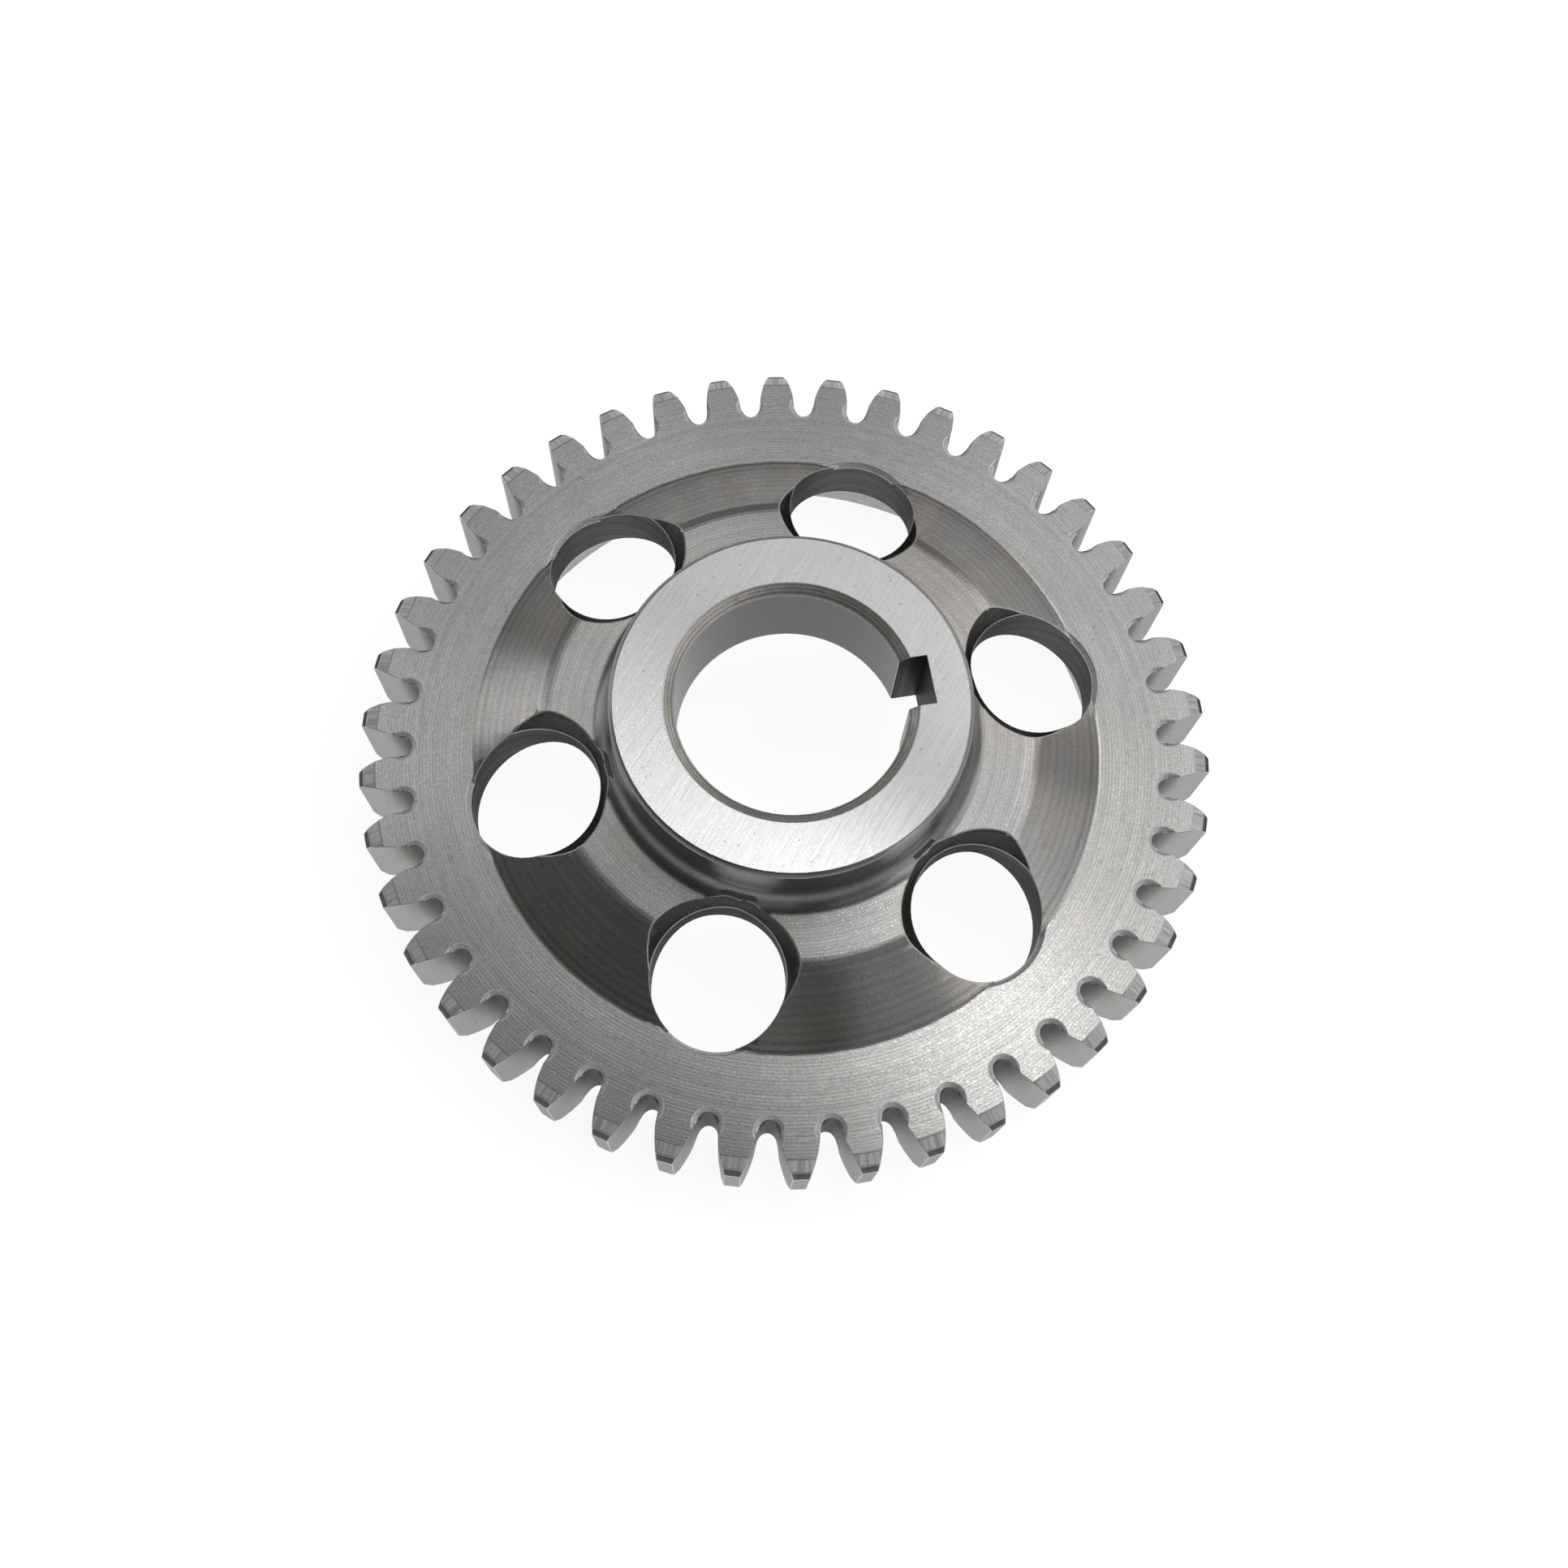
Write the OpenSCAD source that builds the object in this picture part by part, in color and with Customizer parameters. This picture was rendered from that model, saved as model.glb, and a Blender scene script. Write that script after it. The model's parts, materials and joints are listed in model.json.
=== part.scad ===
// Balance shaft gear: a one-piece machined steel spur gear with a dished web and a raised hub.
// Lengths are in millimetres and angles in degrees. The gear lies on the underside of its rim.
// Z = 0 is that underside, +Z is the gear's axis, and +X points at the middle of the keyway.

/* [Teeth] */
// Number of teeth
teeth = 42; // [41:1:60]
// Module: the pitch diameter divided by the number of teeth
module_size = 2; // [1.95:0.05:2.5]
// Pressure angle of the tooth flanks
pressure_angle = 17.5; // [16:0.5:20]
// Height of the teeth above the pitch circle, in modules
addendum_factor = 1; // [0.8:0.05:1.1]
// Depth of the teeth below the pitch circle, in modules
dedendum_factor = 1.75; // [1.4:0.05:1.8]
// How much thinner each tooth is than half the pitch, measured along the pitch circle
tooth_thinning = 0.08; // [0:0.02:0.3]
// Angle from the middle of the keyway to the nearest tooth, anticlockwise
tooth_angle = 4.9; // [0:0.1:8.5]

/* [Tooth edges] */
// Shallow bevel on the tips, hub side: its width along the radius
tip_bevel_w = 1.8; // [1.2:0.1:2.4]
// Shallow bevel on the tips, hub side: its depth where the steep bevel starts
tip_bevel_h = 0.5; // [0.2:0.1:0.8]
// Steep bevel on the tips, hub side: its width along the radius
tip_corner_w = 0.6; // [0.3:0.1:0.9]
// Steep bevel on the tips, hub side: its own depth
tip_corner_h = 0.7; // [0.3:0.1:1]
// Bevel on the tips of the underside: its width along the radius
under_tip_w = 0.7; // [0.3:0.1:1]
// Bevel on the tips of the underside: its depth
under_tip_h = 1.2; // [0.3:0.1:1.5]
// Deburring bevel at the bottom of each tooth gap: its width
root_bevel = 0.45; // [0.2:0.05:0.6]
// Radius of the rounded tool that cuts the deburring bevel
root_tool_radius = 1.15; // [0.8:0.05:1.4]

/* [Rim] */
// Thickness of the rim, which is the length of the teeth
rim_t = 10.5; // [9:0.5:13]
// Width of the flat face of the rim, from the bottom of the tooth gaps to the web's cone
face_w = 6.2; // [4.5:0.1:7.5]
// Radius of the hollow between the web's cone and the face
face_fillet = 1; // [0.5:0.1:2]
// Thickness of the rim between the bottom of the tooth gaps and the recess in its underside
rim_wall = 4.5; // [3.5:0.1:6]
// Radius inside the recess between its wall and the web
recess_fillet = 1.2; // [0.6:0.1:2]

/* [Web] */
// Angle of the web's cone above the horizontal
cone_angle = 30; // [24:1:34]
// Height of the flat ring of the web above the face of the rim
web_rise = 4.4; // [3.8:0.1:5]
// Radius that rounds the outer edge of the flat ring
crest_round = 3.6; // [2:0.2:5]
// Thickness of the web at its flat ring
ring_t = 3.9; // [3:0.1:4.5]
// Thickness of the web's cone, square to its surface
cone_t = 5; // [4:0.1:6]
// Radius of the hollow between the flat and the cone of the underside
under_fillet = 5; // [3:0.5:8]

/* [Holes] */
// Number of lightening holes
hole_count = 6; // [3:1:6]
// Diameter of the lightening holes
hole_d = 13.3; // [11:0.1:13.6]
// Gap between the holes and the wall of the recess
hole_gap = 1; // [0.5:0.1:2]
// Angle from the middle of the keyway to the first hole, anticlockwise
hole_angle = 5.3; // [0:0.1:10]
// How far the countersinks are set to either side of a hole, along the hole circle
sink_shift = 1; // [0.6:0.1:1.4]
// Angle of the countersinks' sides from the vertical
sink_angle = 35; // [25:1:45]
// How far each countersink is wider than its hole at the height of the web's flat ring
sink_over = 0.45; // [0.2:0.05:0.8]
// Edge break where a hole cuts the flat face of the rim
hole_edge = 0.45; // [0.1:0.05:0.6]

/* [Hub] */
// Diameter of the hub
hub_d = 35.9; // [34:0.1:37]
// Height of the hub's ground face above the face of the rim
hub_rise = 11.2; // [10:0.1:13]
// Edge bevel round the ground face
hub_edge = 0.4; // [0.2:0.05:0.8]
// Radius of the hollow at the foot of the hub
hub_fillet = 2.6; // [2:0.1:3]
// Width of that hollow along the radius
hub_fillet_w = 1.9; // [1.5:0.1:2.2]

/* [Bore] */
// Diameter of the bore
bore_d = 23; // [20:0.5:25]
// Bevel at the upper end of the bore: its width along the radius
bore_bevel_w = 1; // [0.4:0.1:1.4]
// Bevel at the upper end of the bore: its depth
bore_bevel_h = 0.8; // [0.4:0.1:1.4]
// Bevel at the lower end of the bore
bore_bevel_low = 0.2; // [0.1:0.1:1]
// Width of the keyway
key_w = 5; // [4:0.5:8]
// Depth of the keyway, from the bore to its floor along the middle line
key_depth = 2.4; // [1.8:0.1:2.8]

/* [Hidden] */
$fn = 96;
steel = "#8f9091";
// Points along one tooth flank and along one root curve
flank_steps = 8;
root_steps = 7;
// Cuts run past the surfaces that they open
past = 1;

// Radii of the gear's circles
pitch_r = module_size * teeth / 2;
base_r = pitch_r * cos(pressure_angle);
dedendum = dedendum_factor * module_size;
tip_r = pitch_r + addendum_factor * module_size;
root_r = pitch_r - dedendum;
hub_r = hub_d / 2;
bore_r = bore_d / 2;
face_r = root_r - face_w;
recess_r = root_r - rim_wall;
hole_r = hole_d / 2;
hole_circle_r = recess_r - hole_gap - hole_r;
sink_r = hole_r + sink_over;

// Heights above the underside of the rim
ring_z = rim_t + web_rise;
hub_z = rim_t + hub_rise;
hub_low_z = ring_z - ring_t;
slope = tan(cone_angle);
// Radius at which the cone would reach the flat ring without its rounding
crest_r = face_r - web_rise / slope;
// Radius at which the underside of the web turns from flat to cone
under_flat_r = crest_r - (cone_t / cos(cone_angle) - ring_t) / slope;
// Height of the web's underside where it meets the recess wall
recess_z = hub_low_z - (recess_r - under_flat_r) * slope;
// Height and end of the hollow at the foot of the hub
hub_arc_end = acos(1 - hub_fillet_w / hub_fillet);
hub_arc_z = ring_z + hub_fillet * sin(hub_arc_end);

// Involute function, and an angle in degrees at which the involute reaches a radius
function inv(a) = tan(a) - a * PI / 180;
function inv_deg(r) = r <= base_r ? 0 : inv(acos(base_r / r)) * 180 / PI;
function polar(r, a) = [r * cos(a), r * sin(a)];
// Points of an arc, from one angle to another
function arc(centre, r, from, to, steps) =
    [for (i = [0 : steps]) centre + polar(r, from + (to - from) * i / steps)];

// Half of the tooth, seen from the gear's centre, in degrees at the pitch circle
tooth_half = (PI * module_size / 2 - tooth_thinning) / 2 / pitch_r * 180 / PI;
// The rack-shaped cutter ends in one full round: its radius and the depth of its centre
cutter_tip_radius = (PI * module_size / 4 + tooth_thinning / 2 - dedendum * tan(pressure_angle))
    / (1 / cos(pressure_angle) - tan(pressure_angle));
tip_centre_depth = dedendum - cutter_tip_radius;

// Where the cutter's tip touches the root when its normal stands at the angle a
function root_shift(a) = a > 89.99 ? 0 : tip_centre_depth / tan(a);
function root_x(a) = root_shift(a) + cutter_tip_radius * cos(a);
function root_y(a) = pitch_r - tip_centre_depth - cutter_tip_radius * sin(a);
function root_point_r(a) = norm([root_x(a), root_y(a)]);
function root_point_angle(a) = 180 / teeth
    - (atan2(root_x(a), root_y(a)) - root_shift(a) / pitch_r * 180 / PI);

// One side of a tooth as [radius, angle from the tooth's middle], from the root to the tip
root_side = [for (i = [0 : root_steps])
    let (a = 90 - (90 - pressure_angle) * i / root_steps)
    [root_point_r(a), root_point_angle(a)]];
flank_from = root_side[root_steps][0];
flank_side = [for (i = [1 : flank_steps])
    let (r = flank_from + (tip_r + past - flank_from) * i / flank_steps)
    [r, tooth_half + inv_deg(pitch_r) - inv_deg(r)]];
tooth_side = concat(root_side, flank_side);
side_n = len(tooth_side);

// The whole toothed outline, one tooth after another, running past the tip circle
tooth_outline = [for (t = [0 : teeth - 1], k = [0 : 2 * side_n - 2])
    let (
        rising = k < side_n,
        p = tooth_side[rising ? k : 2 * side_n - 1 - k]
    )
    polar(p[0], tooth_angle + t * 360 / teeth + (rising ? -p[1] : p[1]))];

// Half of the turned section: radius along X, height along Y
module section() {
    crest_t = crest_round * tan(cone_angle / 2);
    face_t = face_fillet * tan(cone_angle / 2);
    under_t = under_fillet * tan(cone_angle / 2);
    recess_t = recess_fillet / tan(45 + cone_angle / 2);
    polygon(concat(
        [
            [bore_r + bore_bevel_w, hub_z],
            [hub_r - hub_edge, hub_z],
            [hub_r, hub_z - hub_edge]
        ],
        arc([hub_r + hub_fillet, hub_arc_z], hub_fillet, 180, 180 + hub_arc_end, 6),
        arc([crest_r - crest_t, ring_z - crest_round], crest_round, 90, 90 - cone_angle, 4),
        arc([face_r + face_t, rim_t + face_fillet], face_fillet, 270 - cone_angle, 270, 3),
        [
            [tip_r - tip_bevel_w, rim_t],
            [tip_r - tip_corner_w, rim_t - tip_bevel_h],
            [tip_r, rim_t - tip_bevel_h - tip_corner_h],
            [tip_r, under_tip_h],
            [tip_r - under_tip_w, 0],
            [recess_r, 0]
        ],
        arc([recess_r - recess_fillet, recess_z - recess_t], recess_fillet, 0, 90 - cone_angle, 4),
        arc([under_flat_r - under_t, hub_low_z - under_fillet], under_fillet, 90 - cone_angle, 90, 4),
        [
            [bore_r + bore_bevel_low, hub_low_z],
            [bore_r, hub_low_z + bore_bevel_low],
            [bore_r, hub_z - bore_bevel_h]
        ]
    ));
}

// The turned blank, before the teeth and the holes are cut
module blank() {
    rotate_extrude($fn = 180) section();
}

// A prism with the outline of the teeth, taller than the rim
module tooth_prism() {
    translate([0, 0, -past]) linear_extrude(hub_z + 2 * past) polygon(tooth_outline);
}

// Rounded deburring bevels at the bottom of the tooth gaps, on both faces
module root_bevels() {
    for (t = [0 : teeth - 1])
        rotate([0, 0, tooth_angle + (t + 0.5) * 360 / teeth])
        translate([root_r + root_tool_radius, 0, 0]) {
            translate([0, 0, rim_t - root_bevel])
                cylinder(h = root_bevel + past, r1 = root_tool_radius,
                    r2 = root_tool_radius + root_bevel + past);
            translate([0, 0, -past])
                cylinder(h = root_bevel + past, r1 = root_tool_radius + root_bevel + past,
                    r2 = root_tool_radius);
        }
}

// One lightening hole: the drilled hole and the two countersinks beside it
module lightening_hole() {
    cylinder(h = hub_z + past, r = hole_r);
    sink_h = sink_r / tan(sink_angle);
    for (side = [-1, 1])
        translate([0, side * sink_shift, ring_z - sink_h])
        cylinder(h = sink_h + past, r1 = 0, r2 = sink_r + past * tan(sink_angle));
}

// The edge break of a hole, only where it reaches the flat face of the rim
module hole_edge_break() {
    intersection() {
        translate([hole_circle_r, 0, rim_t - hole_edge])
            cylinder(h = hole_edge + past, r1 = hole_r, r2 = hole_r + hole_edge + past);
        translate([0, 0, rim_t - past])
            difference() {
                cylinder(h = 2 * past, r = tip_r);
                translate([0, 0, -past]) cylinder(h = 4 * past, r = face_r);
            }
    }
}

module lightening_holes() {
    for (i = [0 : hole_count - 1])
        rotate([0, 0, hole_angle + i * 360 / hole_count]) {
            translate([hole_circle_r, 0, 0]) lightening_hole();
            hole_edge_break();
        }
}

// The keyway, cut through the whole length of the hub
module keyway() {
    translate([0, -key_w / 2, hub_low_z - past])
        cube([bore_r + key_depth, key_w, hub_z - hub_low_z + 2 * past]);
}

module gear() {
    color(steel)
    difference() {
        intersection() {
            blank();
            tooth_prism();
        }
        root_bevels();
        lightening_holes();
        keyway();
    }
}

gear();
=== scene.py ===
"""The looks of the balance shaft gear: broken edges, machined finishes, studio light and camera."""

import json
import math

import bmesh
import bpy
from mathutils import Matrix, Vector


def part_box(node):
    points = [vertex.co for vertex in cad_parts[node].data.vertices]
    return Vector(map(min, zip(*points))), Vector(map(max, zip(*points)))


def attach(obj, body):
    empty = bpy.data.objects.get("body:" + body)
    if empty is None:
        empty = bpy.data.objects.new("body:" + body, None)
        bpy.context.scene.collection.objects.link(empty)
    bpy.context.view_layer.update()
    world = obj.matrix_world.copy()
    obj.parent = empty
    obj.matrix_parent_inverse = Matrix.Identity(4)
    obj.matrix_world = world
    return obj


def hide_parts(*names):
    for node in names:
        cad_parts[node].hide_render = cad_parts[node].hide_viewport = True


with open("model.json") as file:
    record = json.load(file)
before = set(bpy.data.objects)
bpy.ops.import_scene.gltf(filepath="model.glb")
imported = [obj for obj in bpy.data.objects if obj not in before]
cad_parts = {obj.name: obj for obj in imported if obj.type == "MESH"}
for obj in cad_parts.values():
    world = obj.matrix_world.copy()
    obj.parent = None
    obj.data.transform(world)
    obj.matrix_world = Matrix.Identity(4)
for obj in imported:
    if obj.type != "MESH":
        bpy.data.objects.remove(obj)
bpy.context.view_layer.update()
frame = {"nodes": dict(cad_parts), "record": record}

# Sizes of the gear in metres, as its solid has them
MM = 0.001
TEETH = 42
TOOTH_ANGLE = math.radians(4.9)
ROOT_R = 38.5 * MM
TIP_BEVEL_R = 42.2 * MM
TIP_CORNER_R = 43.4 * MM
RIM_TOP = 10.5 * MM
RECESS_R = 34 * MM
RING_R = 19.85 * MM
HUB_R = 17.95 * MM
HOLE_R = 6.65 * MM
HOLE_CIRCLE_R = 26.35 * MM
KEY_HALF_W = 2.5 * MM
ROOT_TOOL_R = 1.15 * MM
ROOT_BEVEL = 0.45 * MM
GEAR_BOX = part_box("gear")
HUB_TOP = GEAR_BOX[1].z
TIP_R = GEAR_BOX[1].y
MOUNTS = {mount["name"]: mount for mount in frame["record"]["mounts"]}
BORE_R = MOUNTS["shaft_bore"]["dims"]["r_mm"] * MM
HOLE_CENTRES = [
    (Vector(opening["box_m"][0]) + Vector(opening["box_m"][1])) / 2
    for opening in frame["record"]["physics"]["openings"]
]

# How far from a wall its bevel can reach, and where the keyway starts on +X
COUNTERSINK_REACH = 1.2 * MM
HOLE_EDGE_REACH = 0.7 * MM
BORE_BEVEL_REACH = 1.1 * MM
KEYWAY_START = 0.9 * BORE_R
NEAR = 0.06 * MM

# How level a face lies, by the height of its normal: 0 on an upright wall and 1 on a flat top
STEEP = 0.5
FLAT_TOP = 0.99
ROOT_BEVEL_LEVEL = (0.1, 0.98)
TIP_CORNER_LEVEL = (0.1, 0.95)
COUNTERSINK_LEVEL = (0.3, 0.7)
HOLE_EDGE_LEVEL = (0.2, 0.8)
BORE_BEVEL_LEVEL = (0.3, 0.95)

# Edges of the machined steel are broken by a small round
BROKEN_EDGE = 0.1 * MM
ROUND_STEPS = 2
SHARP = math.radians(20)
SHARP_IN_SHADING = math.radians(35)
SAME_PLANE = math.radians(0.4)
SAME_POINT = 0.002 * MM


def flat_radius(point):
    """Distance of a point from the gear's axis."""
    return math.hypot(point.x, point.y)


def in_root_bevel(point):
    """Whether a point lies on the deburring bevel at the bottom of a tooth gap."""
    depth = min(abs(point.z), abs(point.z - RIM_TOP))
    if depth > ROOT_BEVEL + NEAR or flat_radius(point) < ROOT_R - ROOT_BEVEL - NEAR:
        return False
    pitch = math.tau / TEETH
    turn = math.atan2(point.y, point.x) - TOOTH_ANGLE
    off_gap = (turn / pitch % 1 - 0.5) * pitch
    tool_r = ROOT_R + ROOT_TOOL_R
    radius = flat_radius(point)
    across = radius * math.sin(off_gap)
    along = radius * math.cos(off_gap) - tool_r
    return math.hypot(across, along) < ROOT_TOOL_R + ROOT_BEVEL + NEAR


def within(value, limits):
    """Whether a value lies between two limits."""
    return limits[0] < value < limits[1]


def in_keyway(point):
    """Whether a point lies on the walls or the floor of the keyway."""
    return abs(point.y) < KEY_HALF_W + NEAR and point.x > KEYWAY_START and flat_radius(point) < HUB_R - MM


def finish_of(face):
    """Name of the finish that a face of the gear has, from where the face lies and how it stands."""
    middle = face.calc_center_median()
    level = abs(face.normal.z)
    radius = flat_radius(middle)
    on_teeth = radius > ROOT_R - ROOT_BEVEL
    if on_teeth and in_root_bevel(middle) and within(level, ROOT_BEVEL_LEVEL):
        return "filed_edge"
    if radius > TIP_CORNER_R - NEAR and within(level, TIP_CORNER_LEVEL) and middle.z > RIM_TOP / 2:
        return "tip_corner"
    if radius > TIP_BEVEL_R and level >= STEEP:
        return "tip_bevel"
    if on_teeth and level < STEEP:
        return "flank"
    if radius > RECESS_R:
        return "rim"
    hole = min((middle - centre).to_2d().length for centre in HOLE_CENTRES)
    if hole < HOLE_R + NEAR and level < STEEP:
        return "hole"
    if hole < HOLE_R + COUNTERSINK_REACH and within(level, COUNTERSINK_LEVEL) and middle.z > RIM_TOP:
        return "countersink"
    if radius > RING_R or middle.z < RIM_TOP:
        if hole < HOLE_R + HOLE_EDGE_REACH and radius > HOLE_CIRCLE_R and within(level, HOLE_EDGE_LEVEL):
            return "filed_edge"
        return "rim" if level > FLAT_TOP and abs(middle.z - RIM_TOP) < NEAR else "web"
    if in_keyway(middle) and level < STEEP:
        return "keyway"
    if radius < BORE_R + NEAR and level < BORE_BEVEL_LEVEL[0]:
        return "bore"
    if radius < BORE_R + BORE_BEVEL_REACH and within(level, BORE_BEVEL_LEVEL):
        return "bore_bevel"
    if middle.z > HUB_TOP - NEAR:
        return "hub_face"
    return "hub_side"


def sharp_edges(bm):
    """The edges that stand out sharply, apart from those of the root bevels, which are filed already."""
    return [
        edge for edge in bm.edges
        if edge.calc_face_angle(0) > SHARP and edge.is_convex
        and not any(in_root_bevel(v.co) for v in edge.verts)
    ]


def mark_finishes(bm, rounds, names):
    """Number each face's finish. The rounds are bare steel in a lighter grey that also paints thin highlights
    along the edges, apart from the keyway's and the hub side's.
    """
    for face in bm.faces:
        face.smooth = True
        face.material_index = names.index(finish_of(face))
    for face in rounds:
        finish = finish_of(face)
        radius = flat_radius(face.calc_center_median())
        if finish in ("hub_side", "hub_face") and radius > HUB_R - MM:
            face.material_index = names.index("hub_side")
        elif finish != "keyway":
            face.material_index = names.index("edge")


def gear_with_broken_edges(finishes):
    """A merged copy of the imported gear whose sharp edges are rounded, with a finish on every face."""
    bm = bmesh.new()
    bm.from_mesh(frame["nodes"]["gear"].data)
    bmesh.ops.remove_doubles(bm, verts=bm.verts, dist=SAME_POINT)
    bmesh.ops.dissolve_limit(bm, angle_limit=SAME_PLANE, verts=bm.verts, edges=bm.edges)
    rounded = bmesh.ops.bevel(bm, geom=sharp_edges(bm), offset=BROKEN_EDGE, offset_type="OFFSET",
                              segments=ROUND_STEPS, profile=0.5, affect="EDGES", material=-1,
                              clamp_overlap=False)
    mark_finishes(bm, rounded["faces"], list(finishes))
    mesh = bpy.data.meshes.new("machined_gear")
    bm.to_mesh(mesh)
    bm.free()
    for material in finishes.values():
        mesh.materials.append(material)
    mesh.set_sharp_from_angle(angle=SHARP_IN_SHADING)
    gear = bpy.data.objects.new("machined_gear", mesh)
    bpy.context.scene.collection.objects.link(gear)
    even = gear.modifiers.new("even_normals", "WEIGHTED_NORMAL")
    even.keep_sharp = True
    return gear


# Shader helpers. The Mix node has a socket for each kind of value, and these carry its colours
MIX_FACTOR = 0
MIX_START = 6
MIX_END = 7
MIX_RESULT = 2


def add(tree, kind, **settings):
    """A new shader node with its settings given by name."""
    node = tree.nodes.new(kind)
    for name, value in settings.items():
        setattr(node, name, value)
    return node


def feed(tree, target, value):
    """Give an input socket a number, a vector, a colour or another node's output."""
    if isinstance(value, bpy.types.NodeSocket):
        tree.links.new(value, target)
    else:
        target.default_value = value


def calc(tree, operation, *values, clamp=False):
    """Output of a Math node."""
    node = add(tree, "ShaderNodeMath", operation=operation, use_clamp=clamp)
    for socket, value in zip(node.inputs, values):
        feed(tree, socket, value)
    return node.outputs[0]


def vector(tree, operation, *values):
    """Output of a Vector Math node."""
    node = add(tree, "ShaderNodeVectorMath", operation=operation)
    for socket, value in zip(node.inputs, values):
        feed(tree, socket, value)
    return node.outputs["Value" if operation == "LENGTH" else "Vector"]


def noise(tree, place, scale, detail=2.0, roughness=0.5):
    """A noise pattern from 0 to 1."""
    node = add(tree, "ShaderNodeTexNoise", noise_dimensions="3D")
    feed(tree, node.inputs["Vector"], place)
    feed(tree, node.inputs["Scale"], scale)
    node.inputs["Detail"].default_value = detail
    node.inputs["Roughness"].default_value = roughness
    return node.outputs["Fac"]


def spread(tree, value, low, high, to_low=0.0, to_high=1.0):
    """A value stretched from one range to another, and held within the second."""
    node = add(tree, "ShaderNodeMapRange")
    for name, number in (("Value", value), ("From Min", low), ("From Max", high),
                         ("To Min", to_low), ("To Max", to_high)):
        feed(tree, node.inputs[name], number)
    return node.outputs[0]


def blend(tree, factor, start, end):
    """A colour between two others."""
    node = add(tree, "ShaderNodeMix", data_type="RGBA", blend_type="MIX")
    feed(tree, node.inputs[MIX_FACTOR], factor)
    feed(tree, node.inputs[MIX_START], start)
    feed(tree, node.inputs[MIX_END], end)
    return node.outputs[MIX_RESULT]


def bump(tree, depth, height, normal=None):
    """The surface's direction where a height from 0 to 1 stands for a depth in mm."""
    node = add(tree, "ShaderNodeBump")
    node.inputs["Distance"].default_value = depth * MM
    feed(tree, node.inputs["Height"], height)
    if normal is not None:
        feed(tree, node.inputs["Normal"], normal)
    return node.outputs[0]


def gear_place(tree):
    """Place on the gear in metres, measured from its axis and the underside of its rim."""
    return add(tree, "ShaderNodeTexCoord").outputs["Object"]


def off_axis(tree, place):
    """The step from the gear's axis straight out to a place."""
    return vector(tree, "MULTIPLY", place, (1, 1, 0))


def steps(tree, length, step):
    """How often a step in mm fits into a length in metres."""
    return calc(tree, "DIVIDE", calc(tree, "DIVIDE", length, MM), step)


def new_group(name, inputs, outputs):
    """An empty shader group with named sockets, and its own input and output nodes."""
    tree = bpy.data.node_groups.new(name, "ShaderNodeTree")
    for title, start in inputs:
        socket = tree.interface.new_socket(title, in_out="INPUT", socket_type="NodeSocketFloat")
        socket.default_value = start
    for title in outputs:
        tree.interface.new_socket(title, in_out="OUTPUT", socket_type="NodeSocketFloat")
    return tree, add(tree, "NodeGroupInput").outputs, add(tree, "NodeGroupOutput").inputs


# A noise mostly stays between these two values
NOISE_RANGE = (0.25, 0.75)
# Turning marks: how far and over what length a ring wanders, how much of its depth is uneven, and the patches
# of the face in which the marks are weaker
RING_WANDER = 1.5
RING_WANDER_SIZE = 2 * MM
UNEVEN_SHARE = 0.6
EVEN_SHARE = 0.4
RING_PATCH_SIZE = 7 * MM
RING_PATCH_EDGE = (0.35, 0.65)
WEAK_RINGS = 0.7
# Grain: the part of its noise that shines as facets, and the size and share of the dark specks
FACET_EDGE = (0.6, 0.72)
SPECK_SIZE = 0.45 * MM
SPECK_EDGE = (0.79, 0.84)
# Grinding and filing: how little a line changes along its length
GRINDING_STRETCH = (0.02, 1, 0.02)
FILING_DRIFT = (0.1, 0.1, 0.1)
FILING_RANGE = (0.3, 0.7)


def turned_rings():
    """Group: fine rings round the gear's axis, as a turning tool leaves them, stronger in some places."""
    tree, given, result = new_group(
        "turned rings", (("Step across mm", 0.2), ("Step up mm", 0.2)), ("Height",))
    place = gear_place(tree)
    split = add(tree, "ShaderNodeSeparateXYZ")
    feed(tree, split.inputs[0], place)
    height = split.outputs["Z"]
    radius = vector(tree, "LENGTH", off_axis(tree, place))
    wander = noise(tree, place, 1 / RING_WANDER_SIZE, detail=1.0)
    rows = add(tree, "ShaderNodeCombineXYZ")
    feed(tree, rows.inputs["X"], steps(tree, radius, given["Step across mm"]))
    feed(tree, rows.inputs["Y"], steps(tree, height, given["Step up mm"]))
    feed(tree, rows.inputs["Z"], calc(tree, "MULTIPLY", wander, RING_WANDER))
    uneven = spread(tree, noise(tree, rows.outputs[0], 1.0, detail=1.5, roughness=0.6), *NOISE_RANGE)
    turns = steps(tree, calc(tree, "ADD", radius, height), given["Step across mm"])
    wave = calc(tree, "SINE", calc(tree, "MULTIPLY", turns, math.tau))
    even = calc(tree, "MULTIPLY_ADD", wave, 0.5, 0.5)
    uneven_part = calc(tree, "MULTIPLY", uneven, UNEVEN_SHARE)
    marks = calc(tree, "ADD", uneven_part, calc(tree, "MULTIPLY", even, EVEN_SHARE))
    worn = noise(tree, place, 1 / RING_PATCH_SIZE, detail=2.0)
    patches = spread(tree, worn, *RING_PATCH_EDGE, WEAK_RINGS, 1.0)
    feed(tree, result["Height"], calc(tree, "MULTIPLY", marks, patches))
    return tree


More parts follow.
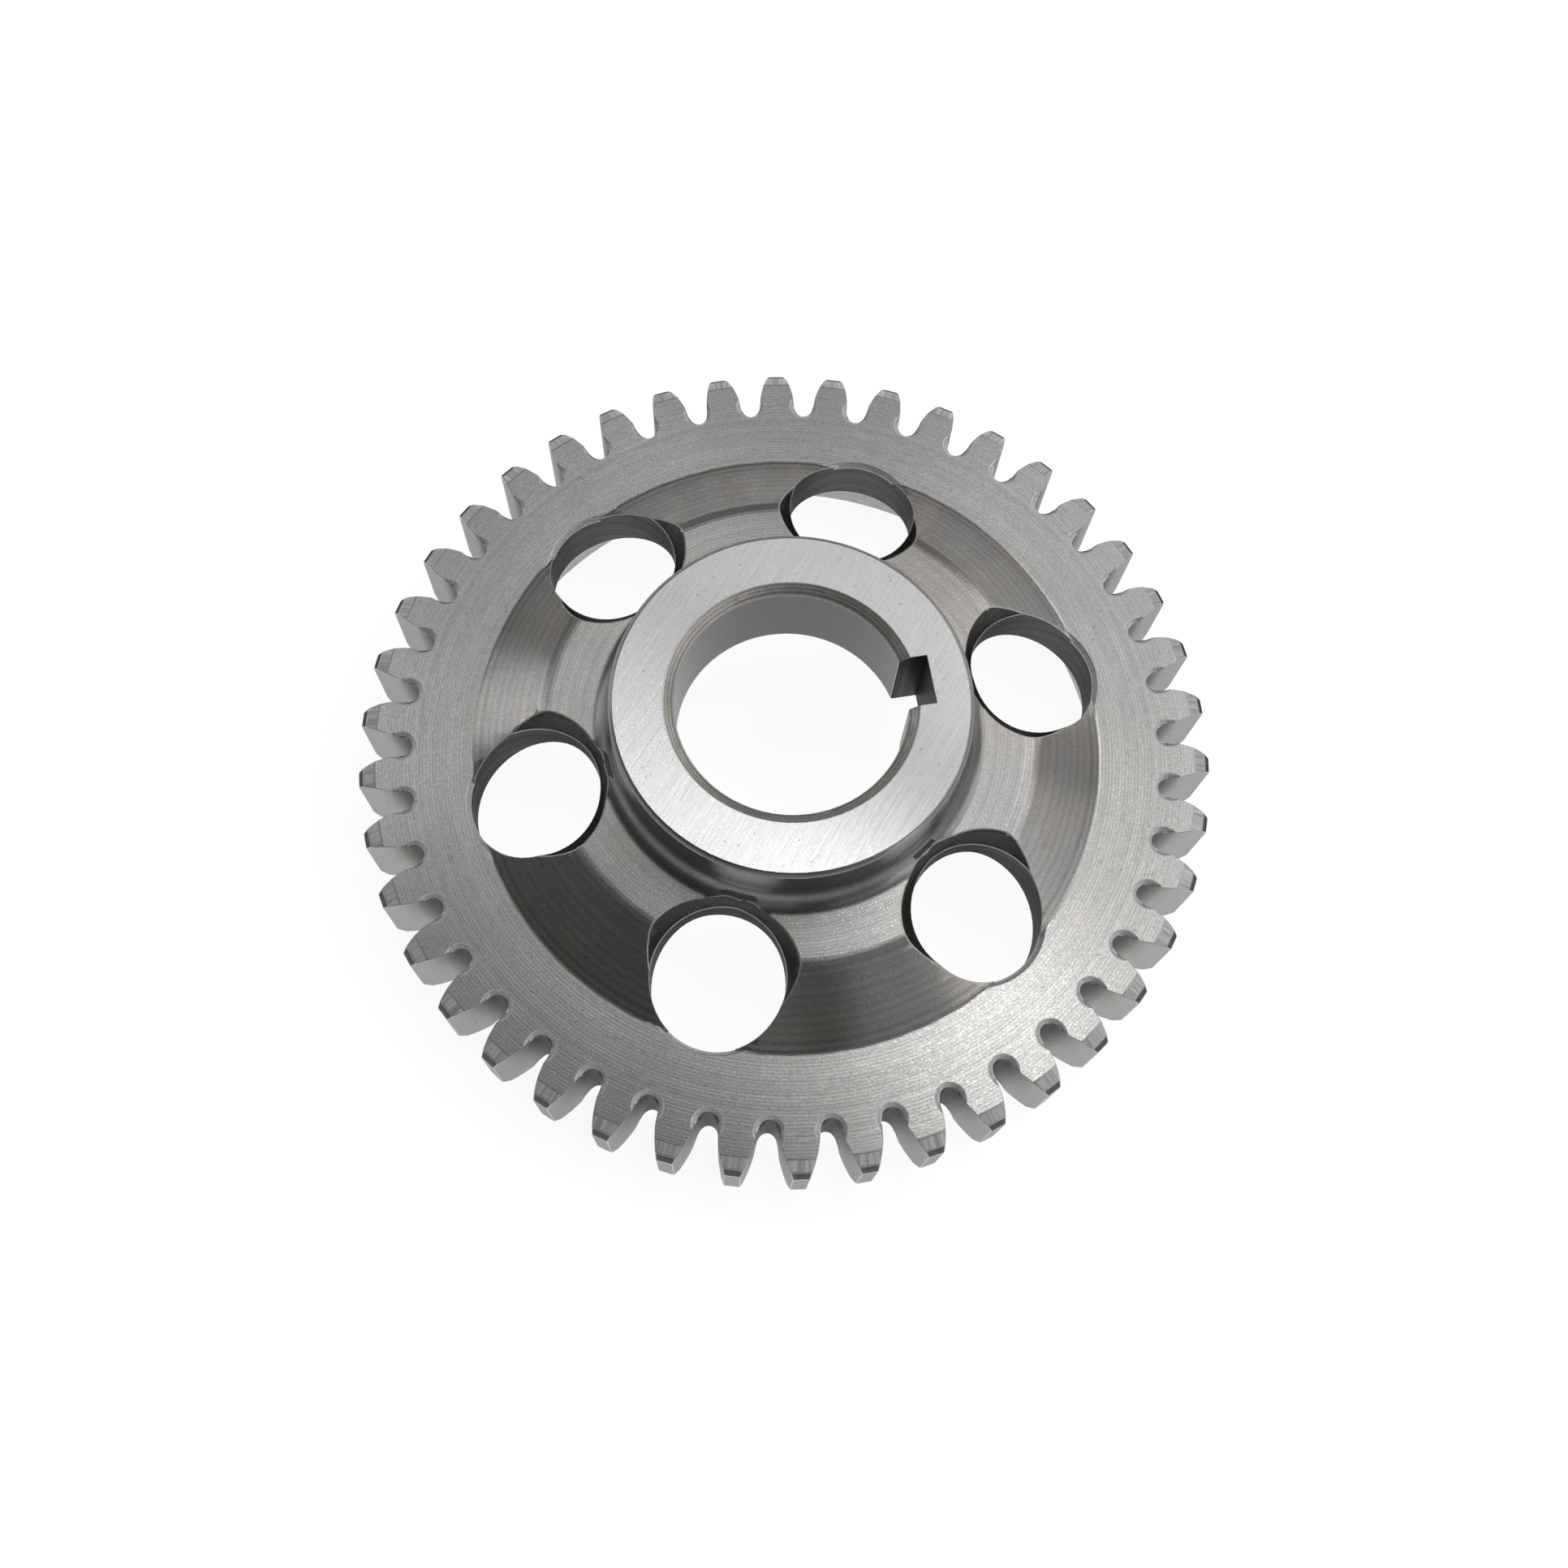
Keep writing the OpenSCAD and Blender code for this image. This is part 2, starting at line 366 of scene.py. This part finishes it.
def fine_grain():
    """Group: the speckle of a matte machined face, its few bright facets and its rare dark specks."""
    tree, given, result = new_group("fine grain", (("Size mm", 0.15),), ("Height", "Facets", "Specks"))
    place = gear_place(tree)
    per_grain = calc(tree, "DIVIDE", 1 / MM, given["Size mm"])
    height = noise(tree, place, per_grain, detail=2.0, roughness=0.6)
    feed(tree, result["Height"], height)
    feed(tree, result["Facets"], spread(tree, height, *FACET_EDGE))
    rare = noise(tree, place, 1 / SPECK_SIZE, detail=0.0)
    feed(tree, result["Specks"], spread(tree, rare, *SPECK_EDGE))
    return tree


def straight_scratches():
    """Group: fine straight grinding lines, running at a set angle across a face."""
    tree, given, result = new_group("straight scratches", (("Angle", 0.0), ("Width mm", 0.06)), ("Lines",))
    turn = add(tree, "ShaderNodeVectorRotate", rotation_type="Z_AXIS")
    feed(tree, turn.inputs["Vector"], gear_place(tree))
    feed(tree, turn.inputs["Angle"], calc(tree, "MULTIPLY", given["Angle"], -1.0))
    stretched = vector(tree, "MULTIPLY", turn.outputs[0], GRINDING_STRETCH)
    per_line = calc(tree, "DIVIDE", 1 / MM, given["Width mm"])
    lines = noise(tree, stretched, per_line, detail=2.0, roughness=0.6)
    feed(tree, result["Lines"], spread(tree, lines, *NOISE_RANGE))
    return tree


def radial_scratches():
    """Group: lines that a file leaves as it runs outwards along the radius."""
    tree, given, result = new_group("radial scratches", (("Width mm", 0.12),), ("Lines",))
    place = gear_place(tree)
    outward = vector(tree, "NORMALIZE", off_axis(tree, place))
    per_line = calc(tree, "DIVIDE", TIP_R / MM, given["Width mm"])
    fan = vector(tree, "ADD", outward, vector(tree, "MULTIPLY", place, FILING_DRIFT))
    feed(tree, result["Lines"], spread(tree, noise(tree, fan, per_line, detail=1.0), *FILING_RANGE))
    return tree


GROUPS = {
    "rings": turned_rings(),
    "grain": fine_grain(),
    "scratches": straight_scratches(),
    "filing": radial_scratches(),
}


def use(tree, group, **values):
    """A group placed in a material, with its inputs given by name."""
    node = add(tree, "ShaderNodeGroup", node_tree=GROUPS[group])
    for name, value in values.items():
        feed(tree, node.inputs[name.replace("_", " ")], value)
    return node.outputs


def rings(across, up):
    """Turning marks with their steps in mm."""
    return lambda tree: use(tree, "rings", Step_across_mm=across, Step_up_mm=up)["Height"]


def scratches(angle, width):
    """Grinding lines at an angle, with their width in mm."""
    return lambda tree: use(tree, "scratches", Angle=angle, Width_mm=width)["Lines"]


def filing(width):
    """Filed lines along the radius, with their width in mm."""
    return lambda tree: use(tree, "filing", Width_mm=width)["Lines"]


def round_axis(tree):
    """Direction that runs round the gear's axis."""
    return vector(tree, "NORMALIZE", vector(tree, "CROSS_PRODUCT", (0, 0, 1), gear_place(tree)))


def across_rings(tree):
    """Direction in the surface that runs square to the turning marks."""
    normal = add(tree, "ShaderNodeNewGeometry").outputs["Normal"]
    return vector(tree, "NORMALIZE", vector(tree, "CROSS_PRODUCT", round_axis(tree), normal))


def one_way(angle):
    """The same direction all over a flat face."""
    return lambda tree: vector(tree, "NORMALIZE", (math.cos(angle), math.sin(angle), 0))


# Tints of the steel, the colour of the painted shade on the flanks near the tooth roots, and that of the dark
# specks
NEUTRAL = (1.0, 1.0, 1.0)
WARM = (1.02, 1.0, 0.975)
BROWN = (1.06, 1.0, 0.93)
BLUE = (0.98, 0.99, 1.01)
# Painted shade: the flanks turn this dark brown towards the tooth roots, where the teeth shade each other, up
# to the share below
PAINTED_ROOT_SHADE = (0.034, 0.026, 0.018, 1)
ROOT_SHADE_SHARE = 0.9
DARK_SPECK = (0.05, 0.045, 0.04, 1)
TINT_PATCH_SIZE = 11 * MM
TINT_PATCH_EDGE = (0.4, 0.6)
# A tone from 0 to 1 stands for this darkest to this lightest part of the grey
DARKEST = 0.5
LIGHTEST = 1.5
# What makes a pattern's swing about its middle the tone that was asked for: grain swings half as far as lines
LINE_SWING = 2
GRAIN_SWING = 4
# The facets of the grain are smoother than the rest, down to a limit
FACET_SHINE = 0.1
SMOOTHEST = 0.12


def shade_of(grey, tint):
    """A colour of a grey and a tint."""
    return [min(1.0, grey * part) for part in tint] + [1.0]


def toned(tree, tone, grey, tint):
    """A tinted grey that a tone darkens and lightens."""
    return blend(tree, tone, shade_of(DARKEST * grey, tint), shade_of(LIGHTEST * grey, tint))


def swing(tree, pattern, strength):
    """How far a pattern from 0 to 1 lies from its middle, times a strength."""
    return calc(tree, "MULTIPLY", calc(tree, "SUBTRACT", pattern, 0.5), strength)


def steel(name, grey, roughness, tint=NEUTRAL, metallic=1.0, grazing=1.0,
          streak=0.0, streak_way=across_rings, lines=None, line_depth=0.0, line_tone=0.12,
          grain=0.2, grain_depth=0.0, grain_tone=0.1, patch_tint=None, specks=0.0, root_shade=None):
    """Machined steel. Depths are in mm, and a tone says how far a pattern lightens and darkens the grey."""
    material = bpy.data.materials.new(name)
    material.use_nodes = True
    tree = material.node_tree
    tree.nodes.clear()
    shader = add(tree, "ShaderNodeBsdfPrincipled")
    output = add(tree, "ShaderNodeOutputMaterial")
    tree.links.new(shader.outputs[0], output.inputs["Surface"])
    shader.inputs["Metallic"].default_value = metallic
    shader.inputs["Anisotropic"].default_value = streak
    shader.inputs["Specular Tint"].default_value = (grazing, grazing, grazing, 1)
    if streak:
        feed(tree, shader.inputs["Tangent"], streak_way(tree))
    speckle = use(tree, "grain", Size_mm=grain)
    pattern = lines(tree) if lines else speckle["Height"]
    line_part = swing(tree, pattern, LINE_SWING * line_tone)
    grain_part = swing(tree, speckle["Height"], GRAIN_SWING * grain_tone)
    tone = calc(tree, "ADD", calc(tree, "ADD", line_part, grain_part), 0.5, clamp=True)
    colour = toned(tree, tone, grey, tint)
    if patch_tint:
        cloud = noise(tree, gear_place(tree), 1 / TINT_PATCH_SIZE, detail=2.0)
        patches = spread(tree, cloud, *TINT_PATCH_EDGE)
        colour = blend(tree, patches, colour, toned(tree, tone, grey, patch_tint))
    # Painted shade: the colour darkens between two radii in mm, most at the inner one, where the tooth roots
    # lie
    if root_shade:
        radius = vector(tree, "LENGTH", off_axis(tree, gear_place(tree)))
        share = spread(tree, radius, root_shade[0] * MM, root_shade[1] * MM, ROOT_SHADE_SHARE, 0.0)
        colour = blend(tree, share, colour, PAINTED_ROOT_SHADE)
    if specks:
        colour = blend(tree, calc(tree, "MULTIPLY", speckle["Specks"], specks), colour, DARK_SPECK)
    feed(tree, shader.inputs["Base Color"], colour)
    facet_roughness = max(SMOOTHEST, roughness - FACET_SHINE)
    feed(tree, shader.inputs["Roughness"],
         spread(tree, speckle["Facets"], 0.0, 1.0, roughness, facet_roughness))
    cut = bump(tree, line_depth, pattern)
    feed(tree, shader.inputs["Normal"], bump(tree, grain_depth, speckle["Height"], cut))
    return material


GRINDING = math.radians(50)
FINISHES = {
    "rim": steel("rim_face", 0.38, 0.26, tint=WARM, streak=0.3,
                 lines=rings(0.34, 0.34), line_depth=0.003, line_tone=0.22,
                 grain=0.18, grain_depth=0.003, grain_tone=0.2, specks=0.3),
    "tip_bevel": steel("filed_tip_bevel", 0.95, 0.5, tint=WARM, metallic=0.35,
                       streak=0.9, streak_way=round_axis,
                       lines=filing(0.3), line_depth=0.014, line_tone=0.4, grain_depth=0.004),
    "tip_corner": steel("tip_corner", 0.12, 0.45, tint=BROWN, grazing=0.3, lines=filing(0.3)),
    # The flanks carry painted shade towards the tooth roots
    "flank": steel("tooth_flank", 0.6, 0.36, tint=WARM, grazing=0.4, line_tone=0.0,
                   grain=0.3, grain_depth=0.006, grain_tone=0.06, specks=0.3, root_shade=(38.4, 40.8)),
    "filed_edge": steel("filed_edge", 0.7, 0.6, tint=WARM, metallic=0.8,
                        grain=0.25, grain_depth=0.015, grain_tone=0.2),
    "web": steel("turned_web", 0.39, 0.3, tint=BROWN, patch_tint=NEUTRAL, streak=0.75,
                 lines=rings(0.34, 0.34), line_depth=0.008, line_tone=0.24,
                 grain=0.18, grain_depth=0.006, grain_tone=0.2, specks=0.3),
    # Painted shade: the countersinks and the hole walls are near-black and dark grey for the shade that falls
    # in them under the gear
    "countersink": steel("countersink", 0.08, 0.35, tint=BROWN, grazing=0.3,
                         lines=rings(0.4, 0.3), line_tone=0.2),
    "hole": steel("drilled_hole_painted_shade", 0.13, 0.42, grazing=0.3,
                  lines=rings(100.0, 0.5), line_tone=0.4, grain_depth=0.004),
    "hub_side": steel("turned_hub_side", 0.27, 0.3, tint=WARM, streak=0.75,
                      lines=rings(0.34, 0.3), line_depth=0.006, line_tone=0.2, grain_depth=0.005),
    "hub_face": steel("ground_hub_face", 0.57, 0.25,
                      streak=1.0, streak_way=one_way(GRINDING - math.pi / 2),
                      lines=scratches(GRINDING, 0.15), line_depth=0.0012, line_tone=0.11,
                      grain_depth=0.001, grain_tone=0.04, specks=0.3),
    "bore_bevel": steel("bore_bevel", 0.57, 0.5, tint=BROWN, streak=0.7,
                        lines=rings(0.6, 0.6), line_depth=0.03, line_tone=0.8,
                        grain_depth=0.01, grain_tone=0.2),
    # Painted shade: the bore is dark grey for the shade that falls in it under the gear
    "bore": steel("honed_bore_painted_shade", 0.12, 0.28, tint=BLUE, grazing=0.9, streak=0.5,
                  lines=rings(100.0, 0.5), line_tone=0.04, grain_depth=0.002, grain_tone=0.05),
    "keyway": steel("broached_keyway", 0.09, 0.45, tint=BROWN, grazing=0.5,
                    lines=filing(0.3), line_tone=0.3),
    # Bare steel on the rounded edges, in a lighter grey that also paints thin highlights along them
    "edge": steel("broken_edge", 0.5, 0.5, grain_depth=0.006),
}

gear = gear_with_broken_edges(FINISHES)
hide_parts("gear")
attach(gear, "root")


# The studio: half the floor's side in metres, its grey and its glow, and the even light from all round
FLOOR_REACH = 3.0
FLOOR_GREY = (0.3, 0.3, 0.3, 1)
FLOOR_GLOW = 0.9
EVEN_LIGHT = 0.06
WHITE = (1.0, 1.0, 1.0, 1)
# Sines of the heights between which the pale backdrop fades out, as the steel sees it
BACKDROP_EDGE = (0.05, 0.2)
LAMP_DISTANCE = 0.7


def floor_material():
    """A pale floor that reads as white to the eye and in the steel, and still takes a soft shadow."""
    material = bpy.data.materials.new("pale_floor")
    material.use_nodes = True
    tree = material.node_tree
    tree.nodes.clear()
    output = add(tree, "ShaderNodeOutputMaterial")
    paper = add(tree, "ShaderNodeBsdfDiffuse")
    paper.inputs["Color"].default_value = FLOOR_GREY
    glow = add(tree, "ShaderNodeEmission")
    rays = add(tree, "ShaderNodeLightPath").outputs
    seen = calc(tree, "MAXIMUM", rays["Is Camera Ray"], rays["Is Glossy Ray"])
    seen = calc(tree, "MAXIMUM", seen, rays["Is Transmission Ray"])
    feed(tree, glow.inputs["Strength"], calc(tree, "MULTIPLY", seen, FLOOR_GLOW))
    both = add(tree, "ShaderNodeAddShader")
    tree.links.new(paper.outputs[0], both.inputs[0])
    tree.links.new(glow.outputs[0], both.inputs[1])
    tree.links.new(both.outputs[0], output.inputs["Surface"])
    return material


def pale_floor():
    """A wide flat floor under the gear."""
    bm = bmesh.new()
    bmesh.ops.create_grid(bm, x_segments=1, y_segments=1, size=FLOOR_REACH)
    mesh = bpy.data.meshes.new("floor")
    bm.to_mesh(mesh)
    bm.free()
    mesh.materials.append(floor_material())
    floor = bpy.data.objects.new("floor", mesh)
    bpy.context.scene.collection.objects.link(floor)


def studio_world(strength):
    """Dim, even light from all round, which the camera sees as white and the steel as a low pale backdrop."""
    world = bpy.data.worlds.new("studio")
    world.use_nodes = True
    tree = world.node_tree
    rays = add(tree, "ShaderNodeLightPath").outputs
    mirrored = calc(tree, "MAXIMUM", rays["Is Glossy Ray"], rays["Is Transmission Ray"])
    split = add(tree, "ShaderNodeSeparateXYZ")
    feed(tree, split.inputs[0], add(tree, "ShaderNodeTexCoord").outputs["Generated"])
    backdrop = spread(tree, split.outputs["Z"], *BACKDROP_EDGE, 1.0, strength)
    low = calc(tree, "MULTIPLY", mirrored, backdrop)
    seen = calc(tree, "MAXIMUM", rays["Is Camera Ray"], low)
    shade = tree.nodes["Background"]
    shade.inputs["Color"].default_value = WHITE
    feed(tree, shade.inputs["Strength"], calc(tree, "MAXIMUM", seen, strength))
    bpy.context.scene.world = world


def softbox(name, azimuth, elevation, side, brightness):
    """A square lamp aimed at the gear's middle. Its angles are in degrees and its side in metres."""
    lamp = bpy.data.lights.new(name, "AREA")
    lamp.size = side
    lamp.energy = brightness * math.pi * side * side
    holder = bpy.data.objects.new(name, lamp)
    bpy.context.scene.collection.objects.link(holder)
    around = math.radians(azimuth)
    up = math.radians(elevation)
    towards = Vector((math.cos(around) * math.cos(up), math.sin(around) * math.cos(up), math.sin(up)))
    holder.location = towards * LAMP_DISTANCE
    holder.rotation_euler = towards.to_track_quat("Z", "Y").to_euler()
    holder.visible_camera = False


# The camera of the photograph, in the gear's frame
PHOTO_SIDE = 1932
CAMERA_AT = Vector((-16.464, -60.664, 181.116)) * MM
CAMERA_AIM = Vector((1.03, 5.947, 10.5)) * MM
CAMERA_ROLL = math.radians(5.406)
CAMERA_FOCUS_PX = 2170.3
CAMERA_CENTRE_PX = (970.9, 843.5)
SENSOR_MM = 36.0
NEAREST_SEEN = 0.01


def photo_camera():
    """The camera where the photographer's stood, with the same lens and framing."""
    lens = bpy.data.cameras.new("photo_camera")
    lens.sensor_fit = "HORIZONTAL"
    lens.sensor_width = SENSOR_MM
    lens.lens = CAMERA_FOCUS_PX / PHOTO_SIDE * SENSOR_MM
    lens.shift_x = (PHOTO_SIDE / 2 - CAMERA_CENTRE_PX[0]) / PHOTO_SIDE
    lens.shift_y = (CAMERA_CENTRE_PX[1] - PHOTO_SIDE / 2) / PHOTO_SIDE
    lens.clip_start = NEAREST_SEEN
    holder = bpy.data.objects.new("photo_camera", lens)
    bpy.context.scene.collection.objects.link(holder)
    aim = (CAMERA_AIM - CAMERA_AT).to_track_quat("-Z", "Y").to_matrix().to_4x4()
    roll = Matrix.Rotation(CAMERA_ROLL, 4, "Z")
    holder.matrix_world = Matrix.Translation(CAMERA_AT) @ aim @ roll
    bpy.context.scene.camera = holder


pale_floor()
studio_world(EVEN_LIGHT)

# High lamps, which the rim and the hub face mirror
softbox("key", azimuth=30, elevation=76, side=0.07, brightness=7.6)
softbox("right_of_key", azimuth=15, elevation=78, side=0.12, brightness=1.2)
softbox("left_of_key", azimuth=57, elevation=76, side=0.12, brightness=1.7)
softbox("over_left", azimuth=95, elevation=76, side=0.15, brightness=0.85)

# Lamps behind the gear and beside it, which the web mirrors
softbox("right", azimuth=15, elevation=60, side=0.25, brightness=1.05)
softbox("back_right", azimuth=45, elevation=60, side=0.25, brightness=0.55)
softbox("back", azimuth=75, elevation=60, side=0.25, brightness=0.68)
softbox("back_left", azimuth=105, elevation=60, side=0.25, brightness=0.45)
softbox("left", azimuth=135, elevation=60, side=0.25, brightness=0.85)

# Low lamps, for the walls, the flanks and the bevels
softbox("low_right", azimuth=-15, elevation=42, side=0.35, brightness=1.4)
softbox("low_back", azimuth=30, elevation=42, side=0.35, brightness=1.65)
softbox("low_front", azimuth=-60, elevation=42, side=0.35, brightness=0.36)
softbox("crest_left", azimuth=144, elevation=32, side=0.12, brightness=2.6)
softbox("low_left", azimuth=144, elevation=16, side=0.2, brightness=1.0)
softbox("bevels_front", azimuth=-105, elevation=28, side=0.25, brightness=0.3)
softbox("bevels_right", azimuth=-46, elevation=24, side=0.2, brightness=2.0)

photo_camera()
bpy.context.scene.view_settings.view_transform = "Standard"
